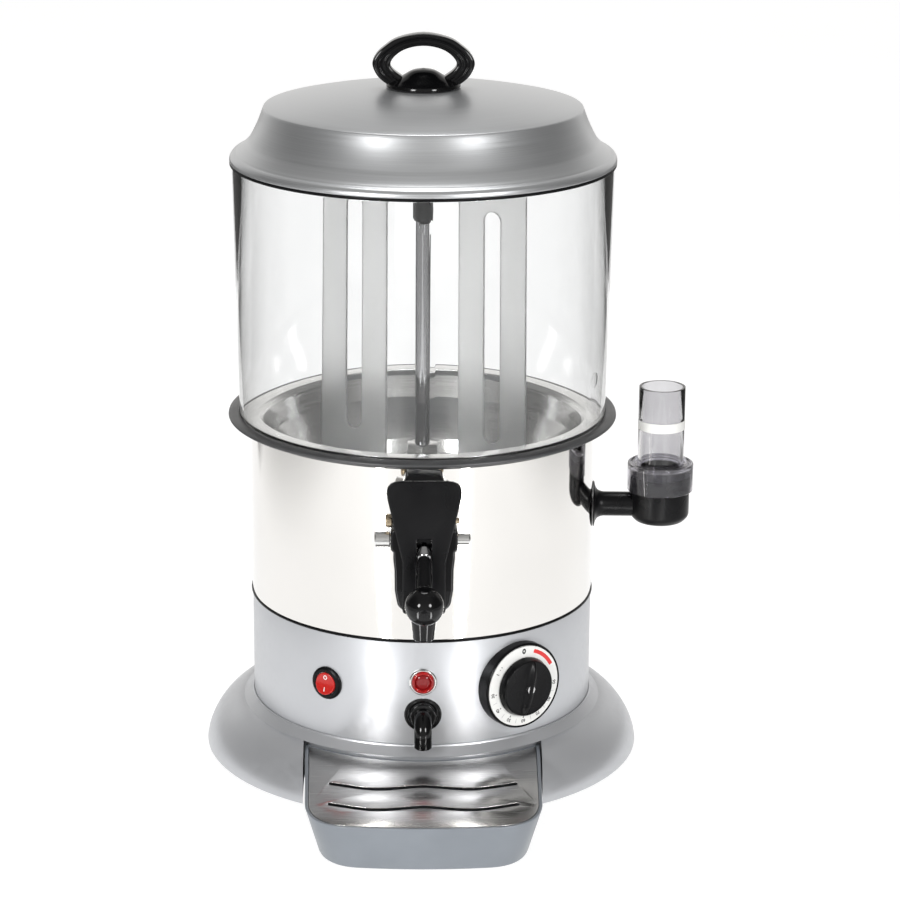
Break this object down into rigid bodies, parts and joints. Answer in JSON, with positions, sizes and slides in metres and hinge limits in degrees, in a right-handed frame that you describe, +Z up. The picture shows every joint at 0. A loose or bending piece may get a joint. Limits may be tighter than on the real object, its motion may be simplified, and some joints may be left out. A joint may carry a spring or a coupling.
{
  "type": "hot chocolate dispenser",
  "caption": "Countertop hot chocolate dispenser with a clear jar on a heated water tank, a stirrer, a lever tap, a level gauge and a drip tray.",
  "frame": {"origin": "under the middle of the whole machine, on the surface that it stands on", "axes": "+Z up along the jar, the tap and the tray face -Y, the gauge is at +X"},
  "size_m": [0.3403, 0.388, 0.506],
  "materials": {
    "paint": "satin light silver paint",
    "polished": "mirror polished stainless steel",
    "steel": "bright drawn and turned steel",
    "satin": "satin silver",
    "black": "gloss black moulding",
    "rubber": "dark grey moulded rubber",
    "clear": "clear moulding",
    "smoke": "translucent grey moulding",
    "frosted": "frosted moulding",
    "white": "white moulding",
    "red": "clear red moulding",
    "brass": "turned brass",
    "zinc": "zinc plated steel",
    "grey": "light grey moulding"
  },
  "bodies": {
    "machine": {"pot": "steel", "base_skirt": "paint", "lower_housing": "paint", "jar_gasket": "rubber", "water_tank": "polished", "base_plate": "zinc", "tap_body": "black", "gauge_elbow": "black", "drain_elbow": "black", "heating_element": "steel", "gauge_ring_nut": "smoke", "motor_bracket": "zinc", "tap_spring": "steel", "thermostat_bezel": "black", "cable_gland": "black", "switch_housing": "black", "drain_pipe": "steel", "gauge_seal": "rubber", "gauge_tube": "clear", "gauge_mark_ring": "white", "lamp_housing": "satin", "gear_motor": "zinc", "tube_nut": "steel", "tube_lock_nut": "brass", "foot_front_left": "rubber", "foot_front_right": "rubber", "foot_rear_right": "rubber", "foot_rear_left": "rubber", "centre_tube": "steel", "lever_pin": "steel", "tap_washer": "rubber", "lamp_lens": "red", "thermostat_body": "zinc", "terminal_block": "white", "tap_cap": "black", "gauge_lock_nut": "brass", "drain_nut": "brass", "gland_nut": "black", "tap_front_plate": "black", "tap_lock_pin": "brass"},
    "jar": {"jar": "clear"},
    "lid": {"lid": "satin", "lid_seal": "rubber", "lid_handle": "black", "handle_screw": "zinc"},
    "drive": {"drive_shaft": "steel", "drive_coupling": "black"},
    "stirrer": {"stirrer": "frosted"},
    "lever": {"tap_lever": "steel", "lever_ball": "black"},
    "piston": {"tap_piston": "white", "piston_seal": "rubber"},
    "knob": {"thermostat_knob": "black", "thermostat_spindle": "steel", "dial_face": "white"},
    "rocker": {"power_rocker": "red"},
    "tray": {"drip_tray": "grey"},
    "grille": {"drip_grille": "steel"}
  },
  "joints": [
    {"name": "jar_lift", "type": "slide", "parent": "machine", "child": "jar", "axis": [0, 0, 1], "range_m": [0, 0.2]},
    {"name": "lid_lift", "type": "slide", "parent": "jar", "child": "lid", "axis": [0, 0, 1], "range_m": [0, 0.12]},
    {"name": "drive_turn", "type": "hinge", "parent": "machine", "child": "drive", "pos_m": [-0.0181, 0.04195, 0.2], "axis": [0, 0, 1], "continuous": true},
    {"name": "stirrer_lift", "type": "slide", "parent": "drive", "child": "stirrer", "axis": [0, 0, 1], "range_m": [0, 0.04]},
    {"name": "lever_press", "type": "hinge", "parent": "machine", "child": "lever", "pos_m": [-0.0181, -0.11655, 0.2025], "axis": [1, 0, 0], "range_deg": [0, 24], "stiffness_Nm_per_rad": 1.5},
    {"name": "piston_rise", "type": "slide", "parent": "machine", "child": "piston", "axis": [0, 0, 1], "range_m": [0, 0.004], "deforming": ["tap_spring"]},
    {"name": "knob_turn", "type": "hinge", "parent": "machine", "child": "knob", "pos_m": [-0.0181, 0.04195, 0.0802], "axis": [0.5446, -0.8387, 0], "range_deg": [-290, 0]},
    {"name": "rocker_tilt", "type": "hinge", "parent": "machine", "child": "rocker", "pos_m": [-0.08389, -0.05936, 0.0805], "axis": [0.8387, -0.5446, 0], "range_deg": [0, 20]},
    {"name": "tray_out", "type": "slide", "parent": "machine", "child": "tray", "axis": [0, -1, 0], "range_m": [0, 0.12]},
    {"name": "grille_lift", "type": "slide", "parent": "tray", "child": "grille", "axis": [0, 0, 1], "range_m": [0, 0.003]}
  ],
  "couplings": [
    {"joint": "piston_rise", "follows": "lever_press", "m_per_rad": 0.009}
  ]
}
